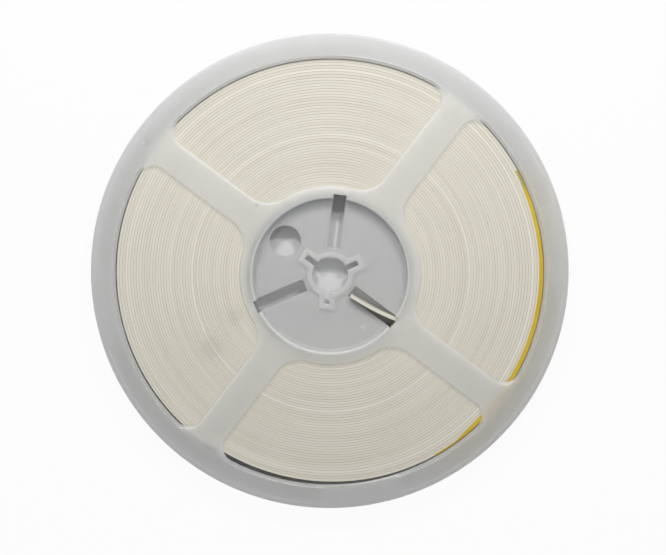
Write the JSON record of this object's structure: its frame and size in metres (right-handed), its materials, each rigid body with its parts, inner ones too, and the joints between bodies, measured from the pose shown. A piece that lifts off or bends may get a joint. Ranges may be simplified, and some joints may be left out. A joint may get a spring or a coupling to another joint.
{
  "type": "smd tape reel",
  "caption": "Flat round plastic reel with windowed flanges and a slotted hub, fully wound with narrow paper carrier tape whose last turn is held by yellow adhesive tape.",
  "frame": {"origin": "where the axis of the arbor hole meets the underside of the rear flange", "axes": "+Z along the arbor hole's axis, from the rear flange to the front one; +Y along one of the three tape slots, from the axis outwards"},
  "size_m": [0.178, 0.178, 0.0114],
  "materials": {
    "reel_plastic": "natural milky translucent moulding, half gloss",
    "tape_paper": "cream paper edges, matt",
    "adhesive_tape": "yellow film with a low sheen"
  },
  "bodies": {
    "root": {"rear_reel_half": "reel_plastic", "front_reel_half": "reel_plastic", "carrier_tape_roll": "tape_paper", "yellow_end_tape": "adhesive_tape"}
  },
  "joints": []
}
